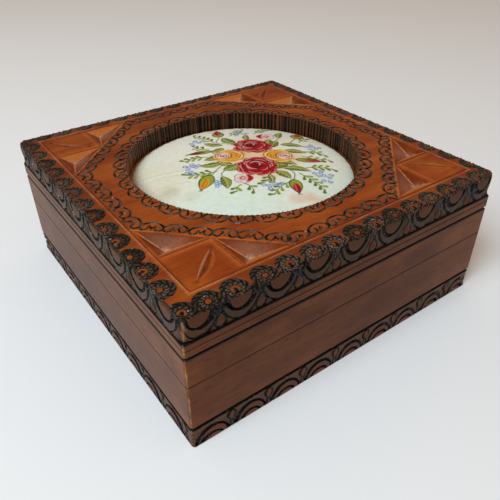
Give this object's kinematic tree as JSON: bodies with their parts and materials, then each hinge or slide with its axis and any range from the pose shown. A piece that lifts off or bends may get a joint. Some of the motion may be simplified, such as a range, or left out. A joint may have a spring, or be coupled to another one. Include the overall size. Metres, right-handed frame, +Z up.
{
  "type": "carved wooden box",
  "caption": "Square carved wooden casket with a lift-off lid, a round padded cloth picture set in its top, burnt scallop ornament and a carved plinth.",
  "frame": {"origin": "middle of the underside of the bottom board", "axes": "+Z up through the lid, -Y out of the front, +X to the right of the front"},
  "size_m": [0.175, 0.175, 0.07],
  "materials": {
    "carved_wood": "satin varnish over reddish-brown stain, with burnt black ornament",
    "wall_wood": "satin varnish over dark brown stain",
    "printed_cloth": "off-white plain weave, printed with flowers"
  },
  "bodies": {
    "root": {"lid_board": "carved_wood", "cloth_pad": "printed_cloth", "lid_wall_front": "wall_wood", "lid_wall_right": "wall_wood", "lid_wall_back": "wall_wood", "lid_wall_left": "wall_wood", "base_wall_front": "wall_wood", "base_wall_right": "wall_wood", "base_wall_back": "wall_wood", "base_wall_left": "wall_wood", "bottom_board": "carved_wood"}
  },
  "joints": []
}
